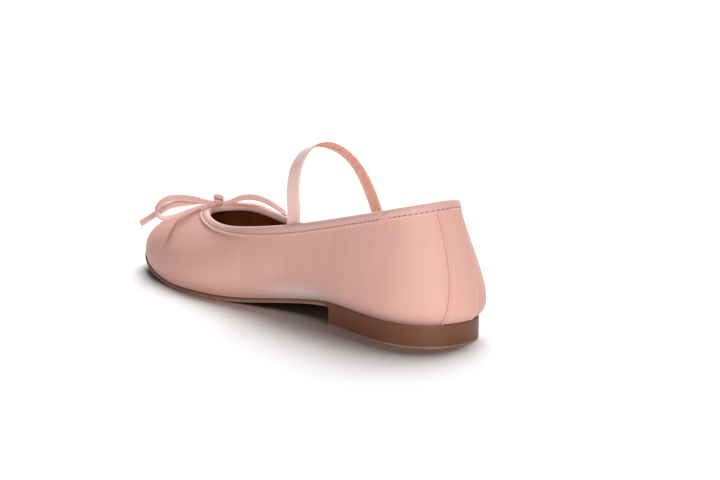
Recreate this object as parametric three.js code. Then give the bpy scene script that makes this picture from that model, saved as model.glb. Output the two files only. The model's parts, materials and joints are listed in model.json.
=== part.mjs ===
// A woman's right ballet flat: a hollow upper on a thin sole with a low block heel, a bound collar,
// a strip over the back seam, an elastic band over the instep and a narrow ribbon bow at the throat.
// Millimetres, +Z up, +X towards the toe, +Y towards the wearer's inner side.

import * as THREE from "three";
import { mergeVertices } from "three/addons/utils/BufferGeometryUtils.js";

// Driving dimensions of the last and the sole
const soleLength = 248;
const ballWidth = 76.8;
const backHeight = 68.8; // floor to the upper's edge at the back seam
const instepHeight = 38.4; // floor to the upper's edge at the throat
const heelHeight = 9.2;
const heelBreast = 0.29 * soleLength; // front face of the heel block
const toeSpring = 10;
const treadStart = 0.613 * soleLength; // the sole lies flat on the floor from here
const treadEnd = 0.766 * soleLength; // to here
const waistDrop = 0.6; // how steeply the sole leaves the heel seat
const springPower = 1.36;
const soleThickness = 2.4;
const toeThickness = 1.0;
const soleInset = 0.8; // the upper's foot stands inside the sole's edge
const edgeBevel = 0.6; // lower edges of heel and insole

// Walls, overlays and clearances
const gap = 0.3;
const wall = 1.6;
const footLap = 2.2; // the wall's flat foot on the sole
const footBlend = 6; // height over which the flat foot becomes the even wall
const leanReach = 12; // level distance from collar to sole at which half the lean counts
const insoleThickness = 2;
const overlay = 0.8; // binding and backstay leather
const bindingDrop = 4.1; // outside the collar
const bindingTuck = 1.4; // inside the collar
const bindingRise = 1.3;
const backstay = { half: 0.0222, narrowest: 0.62, flare: 0.0443 }; // shares of the ring and of the height

// Instep band
const strapWidth = 8.5;
const strapThickness = 1.3;
const strapAlong = 0.375 * soleLength;
const strapSkew = 0.21;
const strapLean = 22; // degrees, its front edge lower, as the instep slopes
const strapTurn = { rate: 0.007, most: 0.08 }; // its width turns with the collar, per millimetre off the middle
const strapDepths = [13, 8, 3]; // sewn length inside the collar

// Ribbon bow
const ribbonWidth = 3.2;
const ribbonThickness = 1.1;
const knot = { along: 193.6, across: 0, rise: 4, length: 5.6, depth: 5.4, height: 6.2, taper: 0.3 };

// Steps of the meshes
const aroundSteps = 108;
const wallSteps = 11;
const backstaySteps = 8;
const strapSteps = 40;
const knotSteps = 6;
const knotSides = 12;
const nudge = 0.002; // shift round the ring for its directions
const closeEnough = 1e-7; // of a place found on the ring

// Sections of the last, from the heel round to the toe. Sole edge: along as a share of the sole's length,
// half widths as shares of the ball width. Collar edge: the same, with its rise from the throat's height, 0,
// to the back seam's, 1. The wall leaves the sole with lowReach at lowTilt from upright, outwards, and
// reaches the collar with highReach at highTilt below level. Reaches in millimetres, tilts in degrees.
const columns = [
  "along", "medial", "lateral", "topAlong", "topMedial", "topLateral",
  "medialRise", "lateralRise", "lowReach", "lowTilt", "highReach", "highTilt",
];
const sections = {
  heelBack: [0.0, 0.0, 0.0, 0.049, 0.0, 0.0, 1.0, 1.0, 11, 66, 32, 68],
  heelCorner: [0.024, 0.222, 0.226, 0.067, 0.157, 0.157, 0.961, 0.947, 11.5, 66, 32, 71],
  heelSide: [0.113, 0.352, 0.359, 0.119, 0.269, 0.269, 0.849, 0.822, 13, 62, 30, 80],
  quarter: [0.25, 0.323, 0.354, 0.25, 0.333, 0.335, 0.566, 0.52, 14, 60, 22, 86],
  waist: [0.395, 0.304, 0.37, 0.391, 0.366, 0.37, 0.283, 0.184, 14, 58, 17, 86],
  joint: [0.524, 0.388, 0.445, 0.516, 0.362, 0.372, 0.086, -0.13, 13, 45, 14, 70],
  ball: [0.657, 0.49, 0.51, 0.629, 0.314, 0.332, -0.046, -0.19, 13, 28, 18, 45],
  shoulder: [0.794, 0.464, 0.451, 0.722, 0.216, 0.234, -0.066, -0.012, 14, 18, 20, 28],
  toeCorner: [0.927, 0.315, 0.281, 0.773, 0.114, 0.122, -0.028, 0.01, 15, 16, 19, 13],
  toeTip: [1.0, 0.018, -0.018, 0.788, 0.0, 0.0, 0.0, 0.0, 15, 16, 18, 7],
};

// The band's free arch, from the inner side to the outer side.
const strapArch = [
  { across: 24.6, height: 53 },
  { across: 25, height: 66.6 },
  { across: 22.5, height: 78.3 },
  { across: 16.8, height: 85.5 },
  { across: 9.2, height: 87.5 },
  { across: -0.1, height: 84.6 },
  { across: -9.2, height: 77 },
  { across: -17.1, height: 64.2 },
];

// Ribbons of the bow, as reach from the knot along a heading and lift from the knot's middle.
const ribbons = {
  bow_loop_medial: {
    heading: 62.7, tilt: -60, steps: 30,
    rows: [
      [3.4, 1.5], [9.4, 0.9], [16, 1.8], [22.7, 2.6], [28.2, 2], [32.7, -0.7], [34.7, -4.2],
      [33.6, -7.2], [30.6, -8.5], [26.2, -8.4], [20.1, -6.8], [15.1, -4.7], [9.3, -2.3], [3.4, -1.1],
    ],
  },
  bow_loop_lateral: {
    heading: 237.2, tilt: 50, steps: 30,
    rows: [
      [3.4, 1], [8, 1], [12, 1.5], [17.6, 1.9], [22.6, 1.1], [26, -0.2], [31, -3.3], [35.4, -6.5],
      [37, -8.2], [35, -8.9], [28.2, -4.4], [21.5, -0.8], [15.4, -0.2], [9.4, -0.7], [3.4, -1.1],
    ],
  },
  bow_tail_medial: {
    heading: 47, tilt: -55, steps: 16, side: -3,
    rows: [[3.1, -1], [8, -1.8], [18, -3.5], [27.2, -5.3], [33.8, -8.2], [40, -11.3], [43.6, -13.5]],
  },
  bow_tail_lateral: {
    heading: -42, tilt: 30, steps: 16, side: -0.8,
    rows: [[3, -0.8], [8, -1.8], [14, -4.4], [20, -7.1], [26, -10.8], [31, -15.1]],
  },
};

// One row of the closed ring round the shoe, in millimetres, on the inner (1) or outer (-1) side.
function ringRow(name, side) {
  const row = Object.fromEntries(columns.map((column, i) => [column, sections[name][i]]));
  const half = side > 0 ? row.medial : -row.lateral;
  const topHalf = side > 0 ? row.topMedial : -row.topLateral;
  const rise = side > 0 ? row.medialRise : row.lateralRise;
  return [
    row.along * soleLength,
    half * ballWidth,
    row.topAlong * soleLength,
    topHalf * ballWidth,
    instepHeight + rise * (backHeight - instepHeight),
    row.lowReach,
    row.lowTilt,
    row.highReach,
    row.highTilt,
  ];
}

// Control rows of the closed, even cubic spline that passes through every given row.
function splineThrough(rows) {
  const passes = 40;
  let control = rows;
  for (let pass = 0; pass < passes; pass += 1) {
    const last = control;
    const next = (i) => last[(i + 1) % last.length];
    const smooth = (i, c) => (last.at(i - 1)[c] + 4 * last[i][c] + next(i)[c]) / 6;
    control = last.map((row, i) => row.map((value, c) => value + rows[i][c] - smooth(i, c)));
  }
  return control;
}

const stations = Object.keys(sections);
const ring = splineThrough([
  ...stations.map((name) => ringRow(name, 1)),
  ...stations.slice(1, -1).reverse().map((name) => ringRow(name, -1)),
]);

// The section at place u round the shoe: 0 at the back seam, 0.5 at the toe, the inner side first.
function sectionAt(u) {
  const place = THREE.MathUtils.euclideanModulo(u, 1) * ring.length;
  const first = Math.floor(place);
  const t = place - first;
  const weights = [
    (1 - t) ** 3 / 6,
    (3 * t ** 3 - 6 * t ** 2 + 4) / 6,
    (-3 * t ** 3 + 3 * t ** 2 + 3 * t + 1) / 6,
    t ** 3 / 6,
  ];
  const row = (k) => ring[(first + k - 1 + ring.length) % ring.length];
  const value = (c) => weights.reduce((sum, weight, k) => sum + weight * row(k)[c], 0);
  return {
    edge: new THREE.Vector3(value(0), value(1), 0),
    collar: new THREE.Vector3(value(2), value(3), value(4)),
    lowReach: value(5),
    lowTilt: THREE.MathUtils.degToRad(value(6)),
    highReach: value(7),
    highTilt: THREE.MathUtils.degToRad(value(8)),
  };
}

// Level direction pointing out of the ring at place u, for its sole edge or its collar edge.
function outwards(u, line) {
  const along = sectionAt(u + nudge)[line].sub(sectionAt(u - nudge)[line]);
  return new THREE.Vector3(-along.y, along.x, 0).normalize();
}

// Place on the inner side where the given line of the ring reaches a distance along the shoe.
function placeAlong(line, distance) {
  let low = 0;
  let high = 0.5;
  while (high - low > closeEnough) {
    const middle = (low + high) / 2;
    if (sectionAt(middle)[line].x < distance) low = middle;
    else high = middle;
  }
  return low;
}

// Height of the sole's underside: level heel seat, a waist that falls to the tread, and the toe spring.
function soleUnderside(x) {
  if (x <= heelBreast) return heelHeight;
  if (x < treadStart) {
    const t = (x - heelBreast) / (treadStart - heelBreast);
    const fall = 2 * t ** 3 - 3 * t ** 2 + 1;
    const lead = t ** 3 - 2 * t ** 2 + t;
    return heelHeight * (fall - waistDrop * lead);
  }
  return toeSpring * (Math.max(x - treadEnd, 0) / (soleLength - treadEnd)) ** springPower;
}

// The sole thins towards the toe.
function soleTop(x) {
  const thin = THREE.MathUtils.smoothstep(x, treadStart, soleLength);
  return soleUnderside(x) + THREE.MathUtils.lerp(soleThickness, toeThickness, thin);
}

// Curve of the upper's outside from the sole to the collar at place u. It leaves the collar square to the
// topline where the wall stands up, and towards the sole's edge where the vamp lies flat.
function wallCurve(u) {
  const { edge, collar, lowReach, lowTilt, highReach, highTilt } = sectionAt(u);
  const out = outwards(u, "edge");
  const foot = edge.clone().addScaledVector(out, -soleInset);
  foot.z = soleTop(edge.x) + gap;
  const lean = new THREE.Vector3(foot.x - collar.x, foot.y - collar.y, 0);
  const spread = lean.length();
  const flat = spread ** 2 / (spread ** 2 + leanReach ** 2);
  const away = outwards(u, "collar").lerp(lean.normalize(), flat).normalize();
  const low = foot.clone().addScaledVector(out, lowReach * Math.sin(lowTilt));
  low.z += lowReach * Math.cos(lowTilt);
  const high = collar.clone().addScaledVector(away, highReach * Math.cos(highTilt));
  high.z -= highReach * Math.sin(highTilt);
  return new THREE.CubicBezierCurve3(foot, low, high, collar);
}

// The wall at place u. at() takes a depth below the collar edge, measured down the wall, and a distance
// out from the surface. inside() is the inner face, which ends in a flat foot on the sole.
function wallAt(u) {
  const curve = wallCurve(u);
  const before = wallCurve(u - nudge);
  const after = wallCurve(u + nudge);
  const length = curve.getLength();
  const normal = (share) => {
    const along = after.getPointAt(share).sub(before.getPointAt(share));
    return curve.getTangentAt(share).cross(along).normalize();
  };
  const at = (depth, offset) => {
    const share = THREE.MathUtils.clamp(1 - depth / length, 0, 1);
    const point = curve.getPointAt(share).addScaledVector(normal(share), offset);
    return point.addScaledVector(curve.getTangentAt(1), Math.max(-depth, 0));
  };
  const inside = (depth) => {
    const lifted = THREE.MathUtils.smoothstep(length - depth, 0, footBlend);
    const level = at(depth, 0).addScaledVector(outwards(u, "edge"), -footLap);
    return level.lerp(at(depth, -wall), lifted);
  };
  return { length, at, inside };
}

// Closed solid through rings of points, joined end to end, or closed over at both ends from side to side.
function solidThrough(rings, joined) {
  const size = rings[0].length;
  const positions = rings.flat().flatMap((point) => point.toArray());
  const triangles = [];
  const spans = joined ? rings.length : rings.length - 1;
  for (let i = 0; i < spans; i += 1) {
    const a = i * size;
    const b = ((i + 1) % rings.length) * size;
    for (let j = 0; j < size; j += 1) {
      const k = (j + 1) % size;
      triangles.push([a + j, a + k, b + k], [a + j, b + k, b + j]);
    }
  }
  if (!joined) {
    const end = (rings.length - 1) * size;
    for (let j = 0; j < size / 2 - 1; j += 1) {
      const across = size - 1 - j;
      triangles.push([j, across - 1, j + 1], [j, across, across - 1]);
      triangles.push([end + j, end + j + 1, end + across - 1], [end + j, end + across - 1, end + across]);
    }
  }
  const loose = new THREE.BufferGeometry();
  loose.setAttribute("position", new THREE.Float32BufferAttribute(positions, 3));
  loose.setIndex(triangles.flat());
  return facingOut(mergeVertices(loose));
}

// Drops triangles that have shrunk to a line and turns the faces outwards.
function facingOut(geometry) {
  const position = geometry.getAttribute("position");
  const corner = (i) => new THREE.Vector3().fromBufferAttribute(position, i);
  const index = Array.from(geometry.getIndex().array);
  let triangles = [];
  for (let i = 0; i < index.length; i += 3) triangles.push(index.slice(i, i + 3));
  triangles = triangles.filter((t) => new Set(t).size === 3);
  const volume = triangles.reduce((sum, [a, b, c]) => sum + corner(a).dot(corner(b).cross(corner(c))), 0);
  if (volume < 0) triangles.forEach((t) => t.reverse());
  geometry.setIndex(triangles.flat());
  geometry.computeVertexNormals();
  return geometry;
}

const places = Array.from({ length: aroundSteps }, (_, i) => i / aroundSteps);
const steps = (count) => Array.from({ length: count + 1 }, (_, i) => i / count);

function upperGeometry() {
  const rings = places.map((u) => {
    const side = wallAt(u);
    const depths = steps(wallSteps).map((share) => (1 - share) * side.length);
    return [...depths.map((d) => side.at(d, 0)), ...depths.reverse().map((d) => side.inside(d))];
  });
  return solidThrough(rings, true);
}

// Folded binding: outer leaf, rounded crown, inner leaf, and the slot that the collar edge sits in.
function bindingGeometry() {
  const outer = gap + overlay;
  const middle = -wall / 2;
  const crown = [0, 45, 90, 135, 180].map((degrees) => {
    const angle = THREE.MathUtils.degToRad(degrees);
    return [-bindingRise * Math.sin(angle), middle - (middle - outer) * Math.cos(angle)];
  });
  const profile = [
    [bindingDrop, gap],
    [bindingDrop, outer],
    ...crown,
    [bindingTuck, -wall - outer],
    [bindingTuck, -wall - gap],
    [-gap, -wall - gap],
    [-gap, gap],
  ];
  const rings = places.map((u) => {
    const side = wallAt(u);
    return profile.map(([depth, offset]) => side.at(depth, offset));
  });
  return solidThrough(rings, true);
}

// Strip over the back seam, from just above the sole to just under the binding.
function backstayGeometry() {
  const rings = steps(wallSteps).slice(1).map((share) => {
    const half = backstay.half + backstay.flare * (share - backstay.narrowest) ** 2;
    const sides = steps(backstaySteps).map((across) => wallAt(half * (2 * across - 1)));
    const depth = (side) => Math.max((1 - share) * side.length, bindingDrop + gap);
    const face = (offset) => sides.map((side) => side.at(depth(side), offset));
    return [...face(gap + overlay), ...face(gap).reverse()];
  });
  return solidThrough(rings, false);
}

// Plate on the sole's outline: inset from the edge, between two heights, bevelled at its lower edge.
function plateGeometry({ inset, bevel, under, over, until }) {
  const breast = placeAlong("edge", heelBreast);
  const innerPlaces = [...steps(aroundSteps / 2).map((share) => share / 2), breast].filter((u) => u < until);
  const rings = [...innerPlaces.sort((a, b) => a - b), until].map((u) => {
    const corner = (place, reach, height, lift) => {
      const { edge } = sectionAt(place);
      const point = edge.clone().addScaledVector(outwards(place, "edge"), -reach);
      point.z = height(edge.x) + lift;
      return point;
    };
    return [
      corner(u, inset, over, 0),
      corner(u, inset, under, bevel),
      corner(u, inset + bevel, under, 0),
      corner(1 - u, inset + bevel, under, 0),
      corner(1 - u, inset, under, bevel),
      corner(1 - u, inset, over, 0),
    ];
  });
  return solidThrough(rings, false);
}

// Flat band along a curve, its width held to the direction that widthAt gives for a point.
function bandGeometry(curve, count, widthAt, width, thickness) {
  const rings = steps(count).map((share) => {
    const point = curve.getPointAt(share);
    const tangent = curve.getTangentAt(share);
    const widthAxis = widthAt(point);
    const across = widthAxis.clone().addScaledVector(tangent, -widthAxis.dot(tangent)).normalize();
    const face = tangent.clone().cross(across);
    const corner = (w, f) =>
      point.clone().addScaledVector(across, (w * width) / 2).addScaledVector(face, (f * thickness) / 2);
    return [corner(-1, -1), corner(1, -1), corner(1, 1), corner(-1, 1)];
  });
  return solidThrough(rings, false);
}

// Elastic band: sewn flat against the inside of the collar on both sides, free over the instep.
function strapGeometry() {
  const seat = -(wall + overlay + 3 * gap + strapThickness / 2);
  const reach = sectionAt(placeAlong("collar", strapAlong)).collar.y;
  const innerPlace = placeAlong("collar", strapAlong + strapSkew * reach);
  const outerPlace = 1 - placeAlong("collar", strapAlong - strapSkew * reach);
  const innerSide = wallAt(innerPlace);
  const outerSide = wallAt(outerPlace);
  const arch = strapArch.map(
    ({ across, height }) => new THREE.Vector3(strapAlong + strapSkew * across, across, height),
  );
  const curve = new THREE.CatmullRomCurve3([
    ...strapDepths.map((depth) => innerSide.at(depth, seat)),
    ...arch,
    ...strapDepths.toReversed().map((depth) => outerSide.at(depth, seat)),
  ]);
  const drop = Math.tan(THREE.MathUtils.degToRad(strapLean));
  const widthAt = ({ y }) =>
    new THREE.Vector3(1, THREE.MathUtils.clamp(strapTurn.rate * y, -strapTurn.most, strapTurn.most), -drop);
  return bandGeometry(curve, strapSteps, widthAt, strapWidth, strapThickness);
}

// Middle of the knot, seated on the binding's crown at the throat.
function knotMiddle() {
  return new THREE.Vector3(knot.along, knot.across, instepHeight + knot.rise);
}

function ribbonGeometry({ heading, tilt, steps: count, side = 0, rows }) {
  const level = THREE.MathUtils.degToRad(heading);
  const lean = THREE.MathUtils.degToRad(tilt);
  const ahead = new THREE.Vector3(Math.cos(level), Math.sin(level), 0);
  const beside = new THREE.Vector3(-ahead.y, ahead.x, 0);
  const points = rows.map(([reach, lift], i) => {
    const drift = side * (1 - i / (rows.length - 1)) ** 2;
    const point = knotMiddle().addScaledVector(ahead, reach).addScaledVector(beside, drift);
    return point.setZ(point.z + lift);
  });
  const widthAxis = beside.clone().multiplyScalar(Math.cos(lean)).setZ(Math.sin(lean));
  return bandGeometry(new THREE.CatmullRomCurve3(points), count, () => widthAxis, ribbonWidth, ribbonThickness);
}

// Wrapped knot: a rounded barrel along the bow's line.
function knotGeometry() {
  const square = (ribbons.bow_loop_medial.heading + ribbons.bow_loop_lateral.heading) / 2;
  const level = THREE.MathUtils.degToRad(square);
  const beside = new THREE.Vector3(Math.cos(level), Math.sin(level), 0);
  const ahead = new THREE.Vector3(-beside.y, beside.x, 0);
  const swell = (share) => 1 - knot.taper * Math.abs(2 * share - 1) ** 3;
  const rings = steps(knotSteps).map((share) =>
    Array.from({ length: knotSides }, (_, j) => {
      const angle = (2 * Math.PI * j) / knotSides;
      return knotMiddle()
        .addScaledVector(ahead, knot.length * (share - 0.5))
        .addScaledVector(beside, (knot.depth / 2) * swell(share) * Math.cos(angle))
        .add(new THREE.Vector3(0, 0, (knot.height / 2) * swell(share) * Math.sin(angle)));
    }),
  );
  return solidThrough(rings, false);
}

const satin = { color: "#e0a99c", roughness: 0.5, metalness: 0 };
const trim = { color: "#e6b3a8", roughness: 0.45, metalness: 0 };
const soleLeather = { color: "#6d4633", roughness: 0.55, metalness: 0 };
const sockLeather = { color: "#8a5a40", roughness: 0.7, metalness: 0 };
const elastic = { color: "#e4b9ae", roughness: 0.8, metalness: 0 };

const sock = (x) => soleTop(x) + gap;
const pieces = {
  outsole: [
    plateGeometry({ inset: 0, bevel: 0, under: soleUnderside, over: soleTop, until: 0.5 }),
    soleLeather,
  ],
  heel: [
    plateGeometry({
      inset: 0,
      bevel: edgeBevel,
      under: () => 0,
      over: () => heelHeight,
      until: placeAlong("edge", heelBreast),
    }),
    soleLeather,
  ],
  insole: [
    plateGeometry({
      inset: soleInset + footLap + gap,
      bevel: edgeBevel,
      under: sock,
      over: (x) => sock(x) + insoleThickness,
      until: 0.5,
    }),
    sockLeather,
  ],
  upper: [upperGeometry(), satin],
  backstay: [backstayGeometry(), satin],
  topline_binding: [bindingGeometry(), trim],
  elastic_strap: [strapGeometry(), elastic],
  bow_knot: [knotGeometry(), trim],
};
for (const [name, ribbon] of Object.entries(ribbons)) pieces[name] = [ribbonGeometry(ribbon), trim];

const shoe = new THREE.Group();
for (const [name, [geometry, finish]] of Object.entries(pieces)) {
  const mesh = new THREE.Mesh(geometry, new THREE.MeshStandardMaterial(finish));
  mesh.name = name;
  shoe.add(mesh);
}

// The origin is under the middle of the shoe's box, on the floor.
const box = new THREE.Box3().setFromObject(shoe);
const middle = box.getCenter(new THREE.Vector3());
shoe.position.set(-middle.x, -middle.y, -box.min.z);

export default shoe;
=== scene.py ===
import json

import bpy
import numpy as np
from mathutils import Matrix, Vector

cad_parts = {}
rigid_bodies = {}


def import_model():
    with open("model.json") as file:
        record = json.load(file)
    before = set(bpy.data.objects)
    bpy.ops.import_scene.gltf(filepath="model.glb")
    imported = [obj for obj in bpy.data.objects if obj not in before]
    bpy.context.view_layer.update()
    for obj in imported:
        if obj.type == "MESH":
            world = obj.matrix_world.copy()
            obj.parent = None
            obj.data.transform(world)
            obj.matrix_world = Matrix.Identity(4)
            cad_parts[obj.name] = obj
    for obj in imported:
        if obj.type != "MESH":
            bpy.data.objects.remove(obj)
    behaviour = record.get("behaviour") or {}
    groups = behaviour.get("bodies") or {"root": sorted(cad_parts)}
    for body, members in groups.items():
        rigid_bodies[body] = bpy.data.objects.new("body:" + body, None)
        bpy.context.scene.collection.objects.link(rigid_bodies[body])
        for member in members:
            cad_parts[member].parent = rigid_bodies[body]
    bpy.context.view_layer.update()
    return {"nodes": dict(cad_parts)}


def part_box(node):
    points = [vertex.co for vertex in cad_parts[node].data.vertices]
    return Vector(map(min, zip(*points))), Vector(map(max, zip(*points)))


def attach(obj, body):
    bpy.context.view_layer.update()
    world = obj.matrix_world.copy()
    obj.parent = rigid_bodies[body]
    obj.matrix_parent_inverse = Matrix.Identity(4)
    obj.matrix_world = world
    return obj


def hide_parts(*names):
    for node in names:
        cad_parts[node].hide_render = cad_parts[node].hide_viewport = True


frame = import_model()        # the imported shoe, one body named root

mm = 0.001               # shapes are worked out in millimetres, from the back of the sole
print("frame loaded:", len(frame["nodes"]), "solids")


def unit(v):
    # each vector over its own length
    return v / np.maximum(np.linalg.norm(v, axis=-1, keepdims=True), 1e-12)


def ease(x, low, high):
    # smooth step: 0 up to low, 1 from high, 3 t squared less 2 t cubed between
    t = np.clip((x - low) / (high - low), 0, 1)
    return t * t * (3 - 2 * t)


def hill(x, width):
    # round hill: 1 in the middle, falling as e to minus the square of x over width
    return np.exp(-((x / width) ** 2))


def running(points, weight=1):
    # length run at each point: the sum of the steps before it, weighed where asked
    steps = np.linalg.norm(np.diff(points, axis=-2), axis=-1) * weight
    return np.concatenate([np.zeros((*steps.shape[:-1], 1)), np.cumsum(steps, -1)], -1)


# The last: every curved piece below is read from it

last = {
    "soleLength": 248, "ballWidth": 76.8, "backHeight": 68.8, "instepHeight": 38.4,
    "heelHeight": 9.2, "heelBreast": 0.29, "toeSpring": 10, "treadStart": 0.613, "treadEnd": 0.766,
    "waistDrop": 0.6, "springPower": 1.36, "soleThickness": 2.4, "toeThickness": 1.0,
    "soleInset": 0.8, "gap": 0.3, "wall": 1.6, "footLap": 2.2, "footBlend": 6, "leanReach": 12,
}
# along the sole, inner and outer half width; the same three at the collar; inner and outer rise of the
# collar; reach and tilt of the wall where it leaves the sole, then where it meets the collar
lastSections = {
    "heelBack": [0.0, 0.0, 0.0, 0.049, 0.0, 0.0, 1.0, 1.0, 11, 66, 32, 68],
    "heelCorner": [0.024, 0.222, 0.226, 0.067, 0.157, 0.157, 0.961, 0.947, 11.5, 66, 32, 71],
    "heelSide": [0.113, 0.352, 0.359, 0.119, 0.269, 0.269, 0.849, 0.822, 13, 62, 30, 80],
    "quarter": [0.25, 0.323, 0.354, 0.25, 0.333, 0.335, 0.566, 0.52, 14, 60, 22, 86],
    "waist": [0.395, 0.304, 0.37, 0.391, 0.366, 0.37, 0.283, 0.184, 14, 58, 17, 86],
    "joint": [0.524, 0.388, 0.445, 0.516, 0.362, 0.372, 0.086, -0.13, 13, 45, 14, 70],
    "ball": [0.657, 0.49, 0.51, 0.629, 0.314, 0.332, -0.046, -0.19, 13, 28, 18, 45],
    "shoulder": [0.794, 0.464, 0.451, 0.722, 0.216, 0.234, -0.066, -0.012, 14, 18, 20, 28],
    "toeCorner": [0.927, 0.315, 0.281, 0.773, 0.114, 0.122, -0.028, 0.01, 15, 16, 19, 13],
    "toeTip": [1.0, 0.018, -0.018, 0.788, 0.0, 0.0, 0.0, 0.0, 15, 16, 18, 7],
}
soleLength = last["soleLength"]
breast, treadFrom, treadTo = [last[key] * soleLength for key in ("heelBreast", "treadStart", "treadEnd")]
solePlan, collarLine, handleColumns = slice(0, 2), slice(2, 5), slice(5, 9)     # of a row of the ring
nudge = 0.002            # step round the ring for its directions
ringSteps = 4000         # of the table that places round the ring are read from
wallSteps = 96           # of the table that a wall's length is read from
upward = np.array([0.0, 0.0, 1.0])


def ringControls():
    # rows of both sides, heel to toe and back, solved so that a closed even cubic passes through each
    columns = np.array(list(lastSections.values()), float).T
    at, inHalf, outHalf, topAt, inTop, outTop, inLift, outLift, *handles = columns
    rise = last["backHeight"] - last["instepHeight"]

    def sideRows(half, topHalf, lift):
        # shares of the last's own sizes, in millimetres
        return np.column_stack([
            at * soleLength, half * last["ballWidth"], topAt * soleLength, topHalf * last["ballWidth"],
            last["instepHeight"] + lift * rise, *handles])

    inner = sideRows(inHalf, inTop, inLift)
    outer = sideRows(-outHalf, -outTop, outLift)
    rows = np.concatenate([inner, outer[-2:0:-1]])
    own = np.eye(len(rows))
    return np.linalg.solve((4 * own + np.roll(own, 1, 1) + np.roll(own, -1, 1)) / 6, rows)


controls = ringControls()


def ringAt(u):
    # closed cubic spline at place u, 0 at the back seam and 0.5 at the toe: four weighted control rows
    place = np.mod(u, 1) * len(controls)
    first = np.floor(place).astype(int)
    t = (place - first)[:, None]
    weights = ((1 - t) ** 3, 3 * t ** 3 - 6 * t ** 2 + 4, -3 * t ** 3 + 3 * t ** 2 + 3 * t + 1, t ** 3)
    return sum(w * controls[(first + k - 1) % len(controls)] for k, w in enumerate(weights)) / 6


def outwards(u, line):
    # level direction out of a line of the ring: its run along, turned a quarter
    along = (ringAt(u + nudge) - ringAt(u - nudge))[:, line]
    return unit(np.column_stack([-along[:, 1], along[:, 0], np.zeros(len(u))]))


def soleUnderside(x):
    # level heel seat, a cubic fall through the waist, level tread, then a power curve up to the toe
    t = np.clip((x - breast) / (treadFrom - breast), 0, 1)
    fall = 2 * t ** 3 - 3 * t ** 2 + 1 - last["waistDrop"] * (t ** 3 - 2 * t ** 2 + t)
    spring = (np.maximum(x - treadTo, 0) / (soleLength - treadTo)) ** last["springPower"]
    return np.where(x < treadFrom, last["heelHeight"] * fall, last["toeSpring"] * spring)


def soleThickness(x):
    # full to the tread, thinning smoothly to the toe
    thin = ease(x, treadFrom, soleLength)
    return last["soleThickness"] + thin * (last["toeThickness"] - last["soleThickness"])


def soleTop(x):
    # its underside and its thickness
    return soleUnderside(x) + soleThickness(x)


def wallControls(u):
    # four controls of the cubic from the sole to the collar: foot, low handle, high handle, collar edge
    row = ringAt(u)
    out = outwards(u, solePlan)
    collar = row[:, collarLine]
    foot = np.column_stack([row[:, solePlan], soleTop(row[:, 0]) + last["gap"]]) - last["soleInset"] * out
    lean = (foot - collar) * (1, 1, 0)
    spread = np.sum(lean ** 2, 1, keepdims=True)
    flat = spread / (spread + last["leanReach"] ** 2)
    away = unit(outwards(u, collarLine) * (1 - flat) + unit(lean) * flat)
    lowReach, lowTilt, highReach, highTilt = row[:, handleColumns].T[..., None]
    lowTilt, highTilt = np.radians(lowTilt), np.radians(highTilt)
    low = foot + lowReach * (out * np.sin(lowTilt) + upward * np.cos(lowTilt))
    high = collar + highReach * (away * np.cos(highTilt) - upward * np.sin(highTilt))
    return np.stack([foot, low, high, collar], 1)


def cubicAt(four, t):
    # cubic Bezier: the four controls under their Bernstein weights
    t = t[..., None]
    weights = ((1 - t) ** 3, 3 * t * (1 - t) ** 2, 3 * t ** 2 * (1 - t), t ** 3)
    return sum(w * four[:, None, k] for k, w in enumerate(weights))


def cubicSlope(four, t):
    # its derivative, from the steps between the controls
    t = t[..., None]
    weights = ((1 - t) ** 2, 2 * t * (1 - t), t ** 2)
    return 3 * sum(w * (four[:, None, k + 1] - four[:, None, k]) for k, w in enumerate(weights))


def wallRun(four):
    # running length of each wall up from the sole, at even steps of its parameter
    return running(cubicAt(four, np.tile(np.linspace(0, 1, wallSteps + 1), (len(four), 1))))


def evenPlaces(four, share):
    # parameter at each share of a wall's length, read from the table of its running length
    run = wallRun(four)
    target = share * run[:, -1:]
    k = np.clip((run[:, None, :] <= target[..., None]).sum(-1) - 1, 0, wallSteps - 1)
    before, after = np.take_along_axis(run, k, 1), np.take_along_axis(run, k + 1, 1)
    return (k + (target - before) / (after - before)) / wallSteps


def wallLength(u):
    # the whole of each wall's running length
    return wallRun(wallControls(u))[:, -1]


def wallAt(u, depth, offset=0.0):
    # points of the upper: depth down the wall from the collar edge, offset out along the normal there;
    # above the edge the wall goes straight on. Also gives the normals, and the way up the wall
    four = wallControls(u)
    share = np.clip(1 - depth / wallLength(u)[:, None], 0, 1)
    place = evenPlaces(four, share)
    before, after = wallControls(u - nudge), wallControls(u + nudge)
    along = cubicAt(after, evenPlaces(after, share)) - cubicAt(before, evenPlaces(before, share))
    rise = unit(cubicSlope(four, place))
    normal = unit(np.cross(rise, along))
    over = np.maximum(-depth, 0)[..., None] * rise
    points = cubicAt(four, place) + over + normal * np.broadcast_to(offset, share.shape)[..., None]
    return points, normal, rise


def evenRing(count, line, crowd=(0.5, 0.1, 0)):
    # places at even distances along a line of the ring, those distances, and the whole way round;
    # crowd draws them closer: round a middle, over a spread, by how many more
    fine = np.linspace(0, 1, ringSteps + 1)
    points = ringAt(fine)[:, line]
    middle, spread, more = crowd
    run = running(points)
    weighed = running(points, 1 + more * hill(fine[1:] - middle, spread))
    u = np.interp(np.arange(count) / count * weighed[-1], weighed, fine)
    return u, np.interp(u, fine, run), run[-1]


cutPlaces = 108          # round the sole, that the solids are cut at
soleLow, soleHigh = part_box("outsole")
soleSide = ringAt(np.arange(cutPlaces) / cutPlaces)[:, 1]
soleMiddle = (soleSide.min() + soleSide.max()) / 2
origin = np.array([soleLow.x / mm, (soleLow.y + soleHigh.y) / 2 / mm - soleMiddle, 0])


def toFrame(points):
    # from the back of the sole, in millimetres, to the frame's metres
    return (np.asarray(points, float) + origin) * mm


print("last: origin at", origin.round(2), "mm")


# Meshes

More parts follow.
